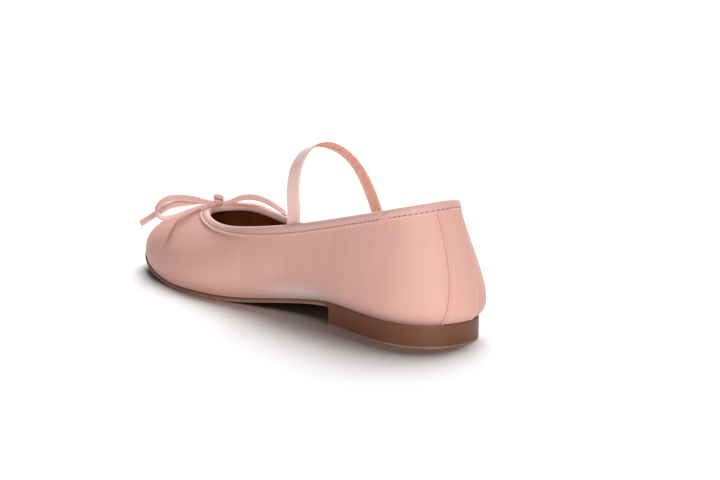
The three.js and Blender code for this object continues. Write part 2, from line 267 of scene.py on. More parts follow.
def newObject(name, data):
    # an object of the data, put in the scene
    thing = bpy.data.objects.new(name, data)
    bpy.context.scene.collection.objects.link(thing)
    return thing


def gridQuads(rows, columns, closedRows=False, closedColumns=False):
    # corner numbers of a grid's quads, joined round where it is closed
    a, b = np.mgrid[:rows - (not closedRows), :columns - (not closedColumns)].reshape(2, -1)
    c, d = (a + 1) % rows, (b + 1) % columns
    return np.column_stack([a * columns + b, c * columns + b, c * columns + d, a * columns + d])


def facingOut(points, quads):
    # turns the quads round where the body's signed volume is negative
    p = points.reshape(-1, 3)[quads]
    volume = np.einsum("ij,ij->", p[:, 0], np.cross(p[:, 1], p[:, 2]) + np.cross(p[:, 2], p[:, 3]))
    return quads if volume > 0 else quads[:, ::-1]


def shellFaces(points, closedColumns=False):
    # outward quads of a grid that is closed round its rows, and down its columns where asked
    return facingOut(points, gridQuads(*points.shape[:2], True, closedColumns)).tolist()


def bandFaces(points):
    # the band's sides, and its two cut ends
    rows, columns = points.shape[:2]
    sides = facingOut(points, gridQuads(rows, columns, closedColumns=True))
    turned = sides[0, 0] == 0 and sides[0, 1] == columns
    start, end = list(range(columns)), list(range((rows - 1) * columns, rows * columns))
    return sides.tolist() + [start if turned else start[::-1], end[::-1] if turned else end]


def clothMap(points, along, across):
    # cloth map of a grid, from values that whole rows or columns may share
    return np.stack([np.broadcast_to(part, points.shape[:2]) for part in (along, across)], -1)


def addPiece(name, points, faces, finishes, cloth=None, fields=None, finishOf=None, stands=()):
    # a new mesh on the root body; cloth is its map in millimetres, fields are values at its points
    mesh = bpy.data.meshes.new(name)
    mesh.from_pydata(toFrame(points.reshape(-1, 3)).tolist(), [], faces)
    for finish in finishes:
        mesh.materials.append(finish)
    mesh.polygons.foreach_set("use_smooth", np.ones(len(mesh.polygons), bool))
    if finishOf is not None:
        mesh.polygons.foreach_set("material_index", np.asarray(finishOf, np.int32))
    if cloth is not None:
        corners = np.empty(len(mesh.loops), np.int32)
        mesh.loops.foreach_get("vertex_index", corners)
        layer = mesh.uv_layers.new(name="cloth")
        layer.data.foreach_set("uv", (cloth.reshape(-1, 2) * mm)[corners].astype(np.float32).ravel())
    for field, values in (fields or {}).items():
        layer = mesh.attributes.new(field, "FLOAT", "POINT")
        layer.data.foreach_set("value", np.asarray(values, np.float32).ravel())
    mesh.update()
    piece = newObject(name, mesh)
    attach(piece, "root")
    if stands:
        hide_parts(*stands)
    print(" ", name, len(mesh.polygons), "faces")


pathSteps = 40           # between two points of a path, before it is read at even lengths


def smoothPath(points, count):
    # centripetal Catmull-Rom through the points, read at even lengths
    p = np.asarray(points, float)
    p = np.concatenate([[2 * p[0] - p[1]], p, [2 * p[-1] - p[-2]]])
    d = np.sqrt(np.linalg.norm(np.diff(p, axis=0), axis=1))[:, None]
    before, span, after = d[:-2], d[1:-1], d[2:]
    a, b, c, e = p[:-3], p[1:-2], p[2:-1], p[3:]
    leave = ((b - a) / before - (c - a) / (before + span) + (c - b) / span) * span
    reach = ((c - b) / span - (e - b) / (span + after) + (e - c) / after) * span
    t = np.linspace(0, 1, pathSteps + 1)[:-1][:, None, None]
    curve = ((2 * t ** 3 - 3 * t ** 2 + 1) * b + (t ** 3 - 2 * t ** 2 + t) * leave
             + (3 * t ** 2 - 2 * t ** 3) * c + (t ** 3 - t ** 2) * reach)
    fine = np.concatenate([curve.transpose(1, 0, 2).reshape(-1, p.shape[1]), p[-2:-1]])
    run = running(fine)
    even = np.linspace(0, run[-1], count)
    return np.column_stack([np.interp(even, run, column) for column in fine.T]), even


def bandFrames(path, widthAxis):
    # along the path, across it in its width axis, and out of its face
    along = unit(np.gradient(path, axis=0))
    across = unit(widthAxis - along * np.sum(along * widthAxis, 1, keepdims=True))
    return along, across, np.cross(along, across)


def carry(path, across, face, section):
    # a section of across and face distances set at every point of the path
    section = np.broadcast_to(section, (len(path),) + section.shape[-2:])
    return path[:, None] + across[:, None] * section[..., :1] + face[:, None] * section[..., 1:]


rounder = 0.25           # added to the power across a section's thin way


def roundedSection(width, thick, sides, squareness):
    # superellipse: each of cos and sin keeps its sign and is raised to a small power
    turn = np.arange(sides) / sides * 2 * np.pi
    wide = np.sign(np.cos(turn)) * np.abs(np.cos(turn)) ** squareness
    high = np.sign(np.sin(turn)) * np.abs(np.sin(turn)) ** (squareness + rounder)
    return np.column_stack([wide * width / 2, high * thick / 2])


# Looks

def linear(code):
    # sRGB hex to linear light
    value = np.array([int(code[k:k + 2], 16) for k in (1, 3, 5)]) / 255
    light = np.where(value <= 0.04045, value / 12.92, ((value + 0.055) / 1.055) ** 2.4)
    return (*light.tolist(), 1.0)


# the output that a kind of node is read from here, where it isn't the first
outputOf = {
    "TexNoise": "Fac", "TexWave": "Fac", "TexVoronoi": "Distance", "TexCoord": "Object", "Attribute": "Fac",
    "Mix": 2,
}


def join(tree, node, links):
    # outputs to the node's own sockets
    for key, output in links.items():
        tree.links.new(output, node.inputs[key])


def addNode(tree, kind, settings=None, links=None):
    # one node: settings go to its own fields or to its sockets, links join outputs to its sockets
    node = tree.nodes.new("ShaderNode" + kind)
    for key, value in (settings or {}).items():
        if isinstance(key, str) and hasattr(node, key):
            setattr(node, key, value)
        else:
            node.inputs[key].default_value = value
    join(tree, node, links or {})
    return node.outputs[outputOf.get(kind, 0)]


def addRamp(tree, factor, colours, places=(0, 1)):
    # from one hex colour to another, between two places of the factor
    ramp = addNode(tree, "ValToRGB", None, {"Fac": factor})
    for stop, colour, place in zip(ramp.node.color_ramp.elements, colours, places):
        stop.position = place
        stop.color = linear(colour)
    return ramp


def addTint(tree, field, base, colour):
    # from the base towards a hex colour, by a factor or a mesh's own field
    if isinstance(field, str):
        field = addNode(tree, "Attribute", {"attribute_name": field})
    return addNode(tree, "Mix", {"data_type": "RGBA", 7: linear(colour)}, {0: field, 6: base})


def newFinish(name, settings):
    # a material with a Principled shader; settings are its constant sockets
    material = bpy.data.materials.new(name)
    material.use_nodes = True
    tree = material.node_tree
    shader = tree.nodes["Principled BSDF"]
    for key, value in settings.items():
        shader.inputs[key].default_value = value
    return material, tree, shader


def addTexture(tree, kind, place, size, **settings):
    # its scale is 1 over a size in millimetres, and pi / 10 of that for waves, so that they repeat at it
    scale = (np.pi / 10 if kind == "TexWave" else 1) / (size * mm)
    return addNode(tree, kind, {"Scale": scale, **settings}, {"Vector": place})


# Polyester satin, warp floats on the face: smooth, with a soft broad gloss and faint streaks up the wall
satinLook = {
    # crease is the colour of the painted shade in creases and the knot's tuck, pulled that of the painted
    # sheen on the waist
    "colour": "#d4a499", "deep": "#cd9b8f", "creaseShade": "#6e382b", "paintedSheen": "#eed9d2",
    "roughness": 0.6, "specular": 0.4, "sheen": 0.1, "sheenTint": "#ffe4dc",
    "streakWidth": 6, "streakLength": 120, "thread": 0.55, "cloudSize": 26,
}


def satinFinish(name, look):
    # shade is 0.6 of the streaks and half the clouds; threads and streaks are raised by a bump
    material, tree, shader = newFinish(name, {
        "Roughness": look["roughness"], "IOR": 1.48, "Specular IOR Level": look["specular"],
        "Sheen Weight": look["sheen"], "Sheen Roughness": 0.4, "Sheen Tint": linear(look["sheenTint"])})
    cloth = addNode(tree, "UVMap", {"uv_map": "cloth"})
    stretched = addNode(tree, "Mapping", {
        "Scale": (1 / (look["streakWidth"] * mm), 1 / (look["streakLength"] * mm), 1)}, {"Vector": cloth})
    streaks = addNode(tree, "TexNoise", {"Scale": 1.0, "Detail": 3.0}, {"Vector": stretched})
    clouds = addTexture(tree, "TexNoise", cloth, look["cloudSize"], Detail=2.0)
    # warp floats are about 0.1 mm; drawn wider so that they show
    threads = addTexture(tree, "TexWave", cloth, look["thread"], Distortion=1.2, Detail=1.0)
    blend = addNode(tree, "Math", {"operation": "MULTIPLY_ADD", 1: 0.6, 2: 0.2}, {0: streaks})
    shade = addNode(tree, "Math", {"operation": "MULTIPLY_ADD", 1: 0.5}, {0: clouds, 2: blend})
    colour = addRamp(tree, shade, (look["deep"], look["colour"]), (0.45, 1.0))
    # painted sheen: paler where a field asks for it, low on the inner waist; painted shade: darker in the
    # creases and the knot's tuck
    colour = addTint(tree, "paintedSheen", colour, look["paintedSheen"])
    colour = addTint(tree, "creaseShade", colour, look["creaseShade"])
    fine = addNode(tree, "Bump", {"Strength": 0.06, "Distance": 0.08 * mm}, {"Height": threads})
    soft = addNode(tree, "Bump", {
        "Strength": 0.1, "Distance": 0.1 * mm}, {"Height": streaks, "Normal": fine})
    join(tree, shader, {"Base Color": colour, "Normal": soft})
    return material


upperSatin = satinFinish("blush_satin", satinLook)
trimLook = {**satinLook, "sheen": 0.2, "streakWidth": 3, "streakLength": 14}
trimSatin = satinFinish("folded_satin_trim", {**trimLook, "colour": "#cca299", "deep": "#c59a91"})
# a paler copy of the trim satin for the bow and the binding's fold: painted light on the faces that catch it
litRibbonSatin = satinFinish("ribbon_satin_painted_light", {**trimLook, "colour": "#d6ada3", "deep": "#cfa49a"})

# Spun polyester thread: matt, with the twist of its plies
threadLook = {"dark": "#6b3b33", "pale": "#b57d70", "matching": "#c89a8d", "plyPitch": 0.5}


def threadFinish(name, colour):
    # one colour; slanting waves, one for each ply, are raised by a bump
    material, tree, shader = newFinish(name, {
        "Base Color": linear(colour), "Roughness": 0.62, "IOR": 1.5, "Sheen Weight": 0.15})
    place = addNode(tree, "TexCoord")
    plies = addTexture(tree, "TexWave", place, threadLook["plyPitch"], bands_direction="DIAGONAL")
    twist = addNode(tree, "Bump", {"Strength": 0.5, "Distance": 0.05 * mm}, {"Height": plies})
    join(tree, shader, {"Normal": twist})
    return material


darkThread = threadFinish("binding_thread", threadLook["dark"])
paleThread = threadFinish("ribbon_thread", threadLook["pale"])
matchingThread = threadFinish("matching_thread", threadLook["matching"])

# Woven elastic: covered rubber cords side by side, a matt ribbed face that lets light through warmer
elasticLook = {
    "colour": "#dabab2", "groove": "#d3afa6", "cord": 0.8, "pick": 0.7, "glow": 0.6, "glowDepth": 3.4,
}


def elasticFinish(name, look):
    # the weave is waves across for the cords and 0.4 of waves along for the picks, in colour and relief
    material, tree, shader = newFinish(name, {
        "Roughness": 0.6, "IOR": 1.48, "Sheen Weight": 0.3, "Subsurface Weight": look["glow"],
        "Subsurface Radius": (1.0, 0.9, 0.85), "Subsurface Scale": look["glowDepth"] * mm})
    cloth = addNode(tree, "UVMap", {"uv_map": "cloth"})
    cords, picks = [
        addTexture(tree, "TexWave", cloth, look[key], bands_direction=way)
        for key, way in (("cord", "Y"), ("pick", "X"))]
    weave = addNode(tree, "Math", {"operation": "MULTIPLY_ADD", 1: 0.4}, {0: picks, 2: cords})
    tone = addRamp(tree, weave, (look["groove"], look["colour"]), (0, 0.6))
    relief = addNode(tree, "Bump", {"Strength": 0.2, "Distance": 0.12 * mm}, {"Height": weave})
    join(tree, shader, {"Base Color": tone, "Normal": relief})
    return material


wovenElastic = elasticFinish("woven_elastic", elasticLook)
# its inner face is drawn in a darker, warmer copy of the elastic: painted shade, warmed like light coming
# through it
shadedElasticBack = elasticFinish("elastic_back_painted_shade", {
    **elasticLook, "colour": "#8f4d3c", "groove": "#874333", "glow": 1.0, "glowDepth": 12.0})

# Pigskin lining and sock, brown dyed: matt, with a pebbled grain
liningLook = {"colour": "#854820", "deep": "#6f3714", "grain": 0.9, "patch": 9}


def liningFinish(name, look):
    # patches of two browns; the cells of the grain are raised by a bump
    material, tree, shader = newFinish(name, {"Roughness": 0.62, "IOR": 1.45})
    place = addNode(tree, "TexCoord")
    grain = addTexture(tree, "TexVoronoi", place, look["grain"])
    patches = addTexture(tree, "TexNoise", place, look["patch"], Detail=4.0)
    tone = addRamp(tree, patches, (look["deep"], look["colour"]), (0.3, 0.7))
    relief = addNode(tree, "Bump", {
        "Strength": 0.25, "Distance": 0.15 * mm, "invert": True}, {"Height": grain})
    join(tree, shader, {"Base Color": tone, "Normal": relief})
    return material


brownLining = liningFinish("brown_pigskin_lining", liningLook)
brownSock = liningFinish("brown_sock_leather", {**liningLook, "colour": "#bd7950", "deep": "#a6633c"})

# Brown sole rubber with a painted edge: the side is dark and half glossy; its lower rim is drawn paler, a
# painted highlight where it catches light, made uneven by a noise
soleLook = {"paint": "#6c432f", "rim": "#ad8e78", "under": "#7d583f", "grain": 0.7, "rimNoiseSize": 14}


def soleFinish():
    # bare rubber, then paint by its own field, then a painted highlight by the rim's field times a noise
    material, tree, shader = newFinish("painted_sole_rubber", {"IOR": 1.5, "Specular IOR Level": 0.35})
    place = addNode(tree, "TexCoord")
    rim, paint = [addNode(tree, "Attribute", {"attribute_name": field}) for field in ("rim", "paint")]
    rimNoise = addTexture(tree, "TexNoise", place, soleLook["rimNoiseSize"], Detail=5.0)
    grain = addTexture(tree, "TexVoronoi", place, soleLook["grain"])
    side = addNode(tree, "Mix", {
        "data_type": "RGBA", 6: linear(soleLook["under"]), 7: linear(soleLook["paint"])}, {0: paint})
    paintedRimLight = addNode(tree, "Math", {"operation": "MULTIPLY"}, {0: rim, 1: rimNoise})
    paintedRimLight = addNode(tree, "Math", {"operation": "MULTIPLY", 1: 1.7, "use_clamp": True}, {0: paintedRimLight})
    gloss = addNode(tree, "MapRange", {"To Min": 0.65, "To Max": 0.5}, {"Value": paint})
    relief = addNode(tree, "Bump", {"Strength": 0.18, "Distance": 0.15 * mm}, {"Height": grain})
    colour = addTint(tree, paintedRimLight, side, soleLook["rim"])
    join(tree, shader, {"Base Color": colour, "Roughness": gloss, "Normal": relief})
    return material


paintedSole = soleFinish()
print("finishes:", len(bpy.data.materials))


# Sole and heel

sole = {
    "around": 480, "endPull": 16, "insets": (2.0, 5.0, 9.0), "shares": (0.35, 0.7, 1.0),
    "topInsets": (3, 0.4), "crisp": 0.05, "least": 0.06, "breastFade": 6,
    "round": 0.55, "toeRound": 1.5, "toeRise": 0.3, "mostRise": 0.7, "roundAngles": (0, 22.5, 45, 67.5, 90),
    "rim": 0.45, "rimFade": 0.25, "rimHighlight": 0.6,
    "sideRows": ((0.03, 0), (0.4, 0.1), (0.75, 0.8)),     # share down the side, and how much painted highlight it takes, more low down
}
bareFrom = 1.5           # angle round a lower edge, in radians, from which its paint is rubbed off
rubbed = 0.4             # what is left of it
highlightAbove, highlightUnder = 0.9, 0.2      # painted highlight just above the lower edge, and just in from it underneath


def soleOutline(count, pull):
    # even places round the sole, the way out of it there, and the middle of the chord across, kept back
    # from both ends
    u, _, _ = evenRing(count, solePlan)
    plan = ringAt(u)[:, solePlan]
    middle = (plan + ringAt(1 - u)[:, solePlan]) / 2
    middle[:, 0] = np.clip(middle[:, 0], pull, soleLength - pull)
    return plan, outwards(u, solePlan)[:, :2], middle


def soleRings(plan, out, middle, rows):
    # each row: inset from the outline, share of the way on to the middle, and its height, fixed or over the
    # plan. What else it holds, its paint and its painted highlight, is given for every point
    rings = []
    for inset, share, height, *_ in rows:
        at = (plan - out * np.broadcast_to(inset, len(plan))[:, None]) * (1 - share) + middle * share
        tall = height(at[:, 0]) if callable(height) else np.full(len(at), height)
        rings.append(np.column_stack([at, tall]))
    return np.stack(rings, 1), np.tile([row[3:] for row in rows], (len(plan), 1)).T


def outsolePiece():
    # rings from the top's middle over the edge to the underside's; the lower edge is a quarter ellipse
    plan, out, middle = soleOutline(sole["around"], sole["endPull"])
    x = plan[:, 0]
    bare = ease(x, breast, breast + sole["breastFade"])     # 0 where the heel block covers the underside
    free = sole["least"] + (1 - sole["least"]) * bare
    toe = ease(x, treadTo, soleLength)
    thick = soleThickness(x)
    across = free * (sole["round"] + toe * (sole["toeRound"] - sole["round"]))
    upwards = free * np.minimum(sole["round"] + sole["toeRise"] * toe, sole["mostRise"] * thick)
    deepest = sole["insets"][-1]
    rows = [(deepest, share, soleTop, 1, 0) for share in (*sole["shares"][::-1], 0)]
    rows += [(inset, 0, soleTop, 1, 0) for inset in (*sole["topInsets"], sole["crisp"])]
    for drop, pale in sole["sideRows"]:
        rows.append((
            0, 0, lambda at, d=drop: soleUnderside(at) + upwards + (1 - d) * (thick - upwards), 1, pale))
    rows.append((0, 0, lambda at: soleUnderside(at) + upwards + sole["rimFade"] * free, 1, highlightAbove))
    for angle in np.radians(sole["roundAngles"]):
        rows.append((
            across * (1 - np.cos(angle)), 0,
            lambda at, s=np.sin(angle): soleUnderside(at) + upwards * (1 - s),
            1 if angle < bareFrom else rubbed, 1))
    rows.append((across + sole["rim"], 0, soleUnderside, 0, highlightUnder))
    rows += [(across + inset, 0, soleUnderside, 0, 0) for inset in sole["insets"]]
    rows += [(across + deepest, share, soleUnderside, 0, 0) for share in sole["shares"]]
    points, (paint, rim) = soleRings(plan, out, middle, rows)
    # the rim field is a painted highlight on the lower edge, none where the heel block covers it
    fields = {"paint": paint, "rim": sole["rimHighlight"] * rim * np.repeat(bare, len(rows))}
    addPiece("sole_unit", points, shellFaces(points), [paintedSole], fields=fields,
             stands=["outsole"])


heel = {
    "arc": 260, "breast": 60, "arcCorner": 0.0002, "breastCorner": 0.001,   # close pairs at its corners
    "round": 0.65, "roundAngles": (0, 30, 60, 90), "rim": 0.4, "rimFade": 0.6, "crisp": 0.04,
    "topRows": (1, 4), "sideRows": (0.75, 0.5, 0.25), "topInset": 0.5, "underInset": 3.0,
    "shares": (0, 0.5, 1.0),
}


def heelPiece():
    # the sole's edge round the back, closed by the straight breast; rings down its side and in under it
    edgeU, _, _ = evenRing(ringSteps, solePlan)
    edgeU = np.mod(edgeU + 0.5, 1) - 0.5
    x = ringAt(edgeU)[:, 0]
    inner, outer = edgeU[(x < breast) & (edgeU >= 0)].max(), edgeU[(x < breast) & (edgeU < 0)].min()
    near = heel["arcCorner"]
    share = np.concatenate([[0, near], np.linspace(0, 1, heel["arc"])[1:-1], [1 - near, 1]])
    arc = ringAt(outer + share * (inner - outer))[:, solePlan]
    near = heel["breastCorner"]
    share = np.concatenate([[near], np.linspace(0, 1, heel["breast"] + 2)[1:-1], [1 - near]])
    plan = np.concatenate([arc, arc[-1] + share[:, None] * (arc[0] - arc[-1])])
    run = np.roll(plan, -1, 0) - np.roll(plan, 1, 0)
    out = unit(np.column_stack([-run[:, 1], run[:, 0]]))
    middle = np.tile([breast / 2, plan[:, 1].mean()], (len(plan), 1))
    top, crisp = last["heelHeight"], heel["crisp"]
    rows = [(heel["topInset"], share, top, 1, 0) for share in heel["shares"][::-1]]
    rows.append((crisp, 0, top, 1, 0))
    levels = [top - times * crisp for times in heel["topRows"]]
    levels += [share * top for share in heel["sideRows"]]
    rows += [(0, 0, height, 1, 0) for height in (*levels, heel["round"] + heel["rim"])]
    for angle in np.radians(heel["roundAngles"]):
        rows.append((heel["round"] * (1 - np.cos(angle)), 0, heel["round"] * (1 - np.sin(angle)),
                     1 if angle < bareFrom else rubbed, 1))
    rows.append((heel["round"] + heel["rimFade"], 0, 0.0, 0, highlightUnder))
    rows += [(heel["underInset"], share, 0.0, 0, 0) for share in heel["shares"]]
    # its rim field is a painted highlight on its lower edge
    points, (paint, rim) = soleRings(plan, out, middle, rows)
    addPiece("heel_block", points, shellFaces(points), [paintedSole],
             fields={"paint": paint, "rim": rim}, stands=["heel"])


outsolePiece()
heelPiece()


# Insole sock

sock = {
    "around": 360, "endPull": 24, "inset": 3.3, "thick": 2.0, "round": 0.8, "roundAngles": (90, 60, 30, 0),
    "crown": 0.5, "middle": 14, "slope": (5, 2), "shares": (1.0, 0.6, 0.25, 0), "underShares": (0, 0.5, 1.0),
}


def sockPiece():
    # a flat pad on the sole's outline with a rounded upper edge and a slight crown
    under = last["gap"]
    top = under + sock["thick"]

    def over(lift):
        # a height over the sole's top
        return lambda at: soleTop(at) + lift

    rows = [(sock["middle"], share, over(top + sock["crown"])) for share in sock["shares"]]
    rows += [(sock["inset"] + sock["slope"][0], 0, over(top + 0.5 * sock["crown"])),
             (sock["inset"] + sock["slope"][1], 0, over(top))]
    for angle in np.radians(sock["roundAngles"]):
        rows.append((sock["inset"] + sock["round"] * (1 - np.cos(angle)), 0,
                     over(top - sock["round"] * (1 - np.sin(angle)))))
    rows.append((sock["inset"], 0, over(under)))
    rows += [(sock["middle"], share, over(under)) for share in sock["underShares"]]
    points, _ = soleRings(*soleOutline(sock["around"], sock["endPull"]), rows)
    addPiece("insole_sock", points, shellFaces(points), [brownSock], stands=["insole"])


sockPiece()


# Upper

upper = {
    "around": 520, "crowd": (0.44, 0.06, 2.2), "outerRows": 90, "innerRows": 34, "foot": 0.27,
    "edgeAt": 3.4, "edge": 0.5, "edgeWidth": 0.7,    # raised edge of the lining, below the collar
    "closeRows": 15, "closeReach": 7,                # rows that stand close for it
    "foldsFromSole": (0, 6), "foldsFromCollar": (3.5, 6),     # folds grow from nothing over these heights
    "slackAt": 52, "slackReach": (18, 50), "slack": 1.8,      # the inner wall stands out at the waist
    "paintedSheenAt": 88, "paintedSheenReach": 28, "paintedSheenHeight": (4.2, 14), "paintedSheen": 0.95,   # painted sheen low on the inner waist
}
# soft folds of the vamp, as seen from above: path along and across, depth and width of the trough, the
# slope beyond it, the lip beside it, and how dark its trough is painted: painted shade
folds = [
    {"path": [(206.6, 4), (208.4, 8.9), (208, 13.5), (207.4, 16.7), (206.7, 19.4), (205.8, 21.8),
              (204.2, 24.9), (202.4, 27.4), (200, 30.4), (197.6, 33)],
     "depth": 1.2, "width": 1.0, "slope": 3.4, "lip": 0.9, "lipWidth": 3.6, "dark": 1.0},
    {"path": [(204, -4), (209, -8), (210, -13), (208, -19), (205, -24)],
     "depth": 0.3, "width": 2.0, "slope": 3.0, "lip": 0.25, "lipWidth": 4.0, "dark": 0.15},
    # no trough but a ridge, where the cloth stands up under the inner loop
    {"path": [(195, 2), (197, 6), (199.5, 12), (201.3, 15.2), (203.2, 18), (204, 21), (203.4, 24),
              (202, 27), (199.5, 30)],
     "depth": -1.3, "width": 3.5, "slope": 4.0, "lip": 0, "lipWidth": 3.6, "dark": 0},
]
# shares of a fold's path over which it comes and goes; lip and painted shade in widths of the trough
foldShape = {
    "comes": (0.0, 0.06), "goes": (0.45, 1.0), "steps": 60, "lipAt": 1.6, "paintedShadeAt": 0.4, "paintedShadeWidth": 1.6,
}
# puckers where the cloth is gathered round the throat's front
gathers = {"height": 0.1, "spacing": 6.5, "depth": 4, "reach": 9, "ahead": 168, "fade": 14}


def foldHeights(points, fold):
    # distance in plan to a smooth path: a trough on it, steep up to the lip on its heel side, sloping off on
    # the other and fading at both ends; also gives how much painted shade darkens the trough
    path, _ = smoothPath(fold["path"], foldShape["steps"])
    step = np.diff(path, axis=0)
    gone = points[:, None, :2] - path[:-1]
    t = np.clip(np.sum(gone * step, -1) / np.sum(step ** 2, -1), 0, 1)
    off = gone - t[..., None] * step
    far = np.linalg.norm(off, axis=-1)
    near = far.argmin(1)
    pick = np.arange(len(points))
    side = np.sign(step[near, 0] * off[pick, near, 1] - step[near, 1] * off[pick, near, 0])
    d = far[pick, near] * side
    place = (near + t[pick, near]) / len(step)
    fade = ease(place, *foldShape["comes"]) * (1 - ease(place, *foldShape["goes"]))
    width = fold["width"]
    lip = hill(d - width * foldShape["lipAt"], fold["lipWidth"]) * ease(d, 0, width)
    trough = hill(d, np.where(d > 0, width, fold["slope"]))
    dark = hill(d - foldShape["paintedShadeAt"] * width, foldShape["paintedShadeWidth"] * width)
    return fade * (fold["lip"] * lip - fold["depth"] * trough), fade * fold["dark"] * dark


def upperPiece():
    # outside from the sole up to the collar, then the lining down again to its flat foot: one closed wall
    u, distance, around = evenRing(upper["around"], collarLine, upper["crowd"])
    inner = (u < 0.5)[:, None]
    length = wallLength(u)[:, None]
    down = np.linspace(1, 0, upper["outerRows"]) * length
    outside, normal, _ = wallAt(u, down)
    heights = [foldHeights(outside.reshape(-1, 3), fold) for fold in folds]
    relief, dark = [sum(part).reshape(down.shape) for part in zip(*heights)]
    ripple = np.cos(2 * np.pi * distance / gathers["spacing"])[:, None]
    ripple = ripple * hill(down - gathers["depth"], gathers["reach"])
    ahead = ease(ringAt(u)[:, 2], gathers["ahead"], gathers["ahead"] + gathers["fade"])[:, None]
    relief += gathers["height"] * ripple * ahead
    free = ease(length - down, *upper["foldsFromSole"]) * ease(down, *upper["foldsFromCollar"])
    relief *= free
    along = outside[..., 0] - upper["slackAt"]
    slack = hill(along, np.where(along < 0, *upper["slackReach"])) * np.sin(np.pi * down / length)
    relief += upper["slack"] * slack * inner
    outside = outside + normal * relief[..., None]
    close = upper["closeReach"]
    collar = np.tile(np.linspace(0, close, upper["closeRows"]), (len(u), 1))
    back = np.concatenate([collar, close + np.linspace(0, 1, upper["innerRows"])[1:] * (length - close)], 1)
    edge = upper["edge"] * hill(back - upper["edgeAt"], upper["edgeWidth"])
    inside, _, _ = wallAt(u, back, -last["wall"] - edge)
    foot = wallAt(u, back)[0] - outwards(u, solePlan)[:, None] * last["footLap"]
    lifted = ease(length - back, 0, last["footBlend"])[..., None]
    inside = foot * (1 - lifted) + inside * lifted
    sink = upward * upper["foot"]                # down to the sole, past the solids' gap
    points = np.concatenate([outside[:, :1] - sink, outside, inside, inside[:, -1:] - sink], 1)
    faces = shellFaces(points, True)
    columns = points.shape[1]
    lining = (np.arange(len(faces)) % columns) >= upper["outerRows"]
    seam = np.minimum(distance, around - distance)[:, None]
    tall = np.concatenate([down[:, :1] + upper["foot"], down, back, back[:, -1:] + upper["foot"]], 1)
    # painted sheen: paler low on the inner waist, where the satin would catch a reflection
    paintedSheen = hill(outside[..., 0] - upper["paintedSheenAt"], upper["paintedSheenReach"]) * inner
    paintedSheen *= upper["paintedSheen"] * (1 - ease(length - down, *upper["paintedSheenHeight"]))
    bare = ((0, 0), (1, columns - 1 - upper["outerRows"]))       # the lining has neither
    # the crease field is painted shade in the troughs of the folds
    addPiece("satin_upper", points, faces, [upperSatin, brownLining],
             cloth=clothMap(points, seam, tall), finishOf=lining, stands=["upper"],
             fields={"creaseShade": np.pad(dark * free, bare), "paintedSheen": np.pad(paintedSheen, bare)})


upperPiece()


# Stitches

stitchShape = {
    "sides": 8, "reach": (-1, -0.85, -0.4, 0.4, 0.85, 1), "thick": (0.35, 0.8, 1, 1, 0.8, 0.35), "bend": 1.3,
}


def stitchRow(name, middle, along, normal, look, finish):
    # every stitch is a short bent grain: rings of even sides, its ends tucked down into their holes
    sides, radius = stitchShape["sides"], look["stitchRadius"]
    turn = np.arange(sides) / sides * 2 * np.pi
    reach, thick = np.array(stitchShape["reach"]), np.array(stitchShape["thick"])[:, None]
    bend = -stitchShape["bend"] * radius * reach ** 4
    across = np.cross(normal, along)
    template = np.stack([
        np.repeat(reach * look["stitchLength"] / 2, sides),
        (thick * np.cos(turn) * radius).ravel(),
        (bend[:, None] + thick * np.sin(turn) * radius).ravel()], -1)
    points = (middle[:, None] + template[:, :1] * along[:, None] + template[:, 1:2] * across[:, None]
              + template[:, 2:] * normal[:, None])
    one = facingOut(points[0], gridQuads(len(reach), sides, closedColumns=True))
    count = len(template)
    ends = np.array([range(sides), range(count - sides, count)])
    turned = 1 if one[0, 1] == sides else 0
    ends[turned] = ends[turned][::-1]
    start = np.arange(len(middle))[:, None, None] * count
    faces = (start + one).reshape(-1, 4).tolist() + (start + ends).reshape(-1, sides).tolist()
    addPiece(name, points, faces, [finish])


# Topline binding

binding = {
    "around": 1200, "drop": 4.35, "tuck": 1.6, "slot": 0.06, "sections": 48,
    # depth below the collar edge and distance out of the wall: up the outside, over the crown, down inside
    "face": [(4.35, 0.1), (4.45, 0.5), (4.32, 0.92), (3.95, 1.16), (3.5, 1.1), (3.2, 0.84), (3.0, 0.74),
             (2.8, 0.84), (2.4, 0.98), (1.4, 1.14), (0.3, 1.12), (-0.6, 0.75), (-1.15, 0.0), (-1.3, -0.8),
             (-1.15, -1.6), (-0.6, -2.35), (0.2, -2.68), (1.0, -2.72), (1.5, -2.5), (1.6, -2.0),
             (1.6, -1.7)],
    "stitch": 2.6, "stitchLength": 1.6, "stitchRadius": 0.22, "stitchDepth": 3.0, "stitchOut": 0.8,
    "pucker": 0.1, "puckerReach": 0.9, "flatter": 0.6, "flatterReach": 32,
    "lapAlong": 33, "lapStep": 0.35, "lapLength": 9, "lapSlant": 1.7, "lapMiddle": 2, "lapEdge": 0.9,
    "lapInside": -0.4, "insideFrom": -0.8, "foldHighlightBelow": 3.35,
}


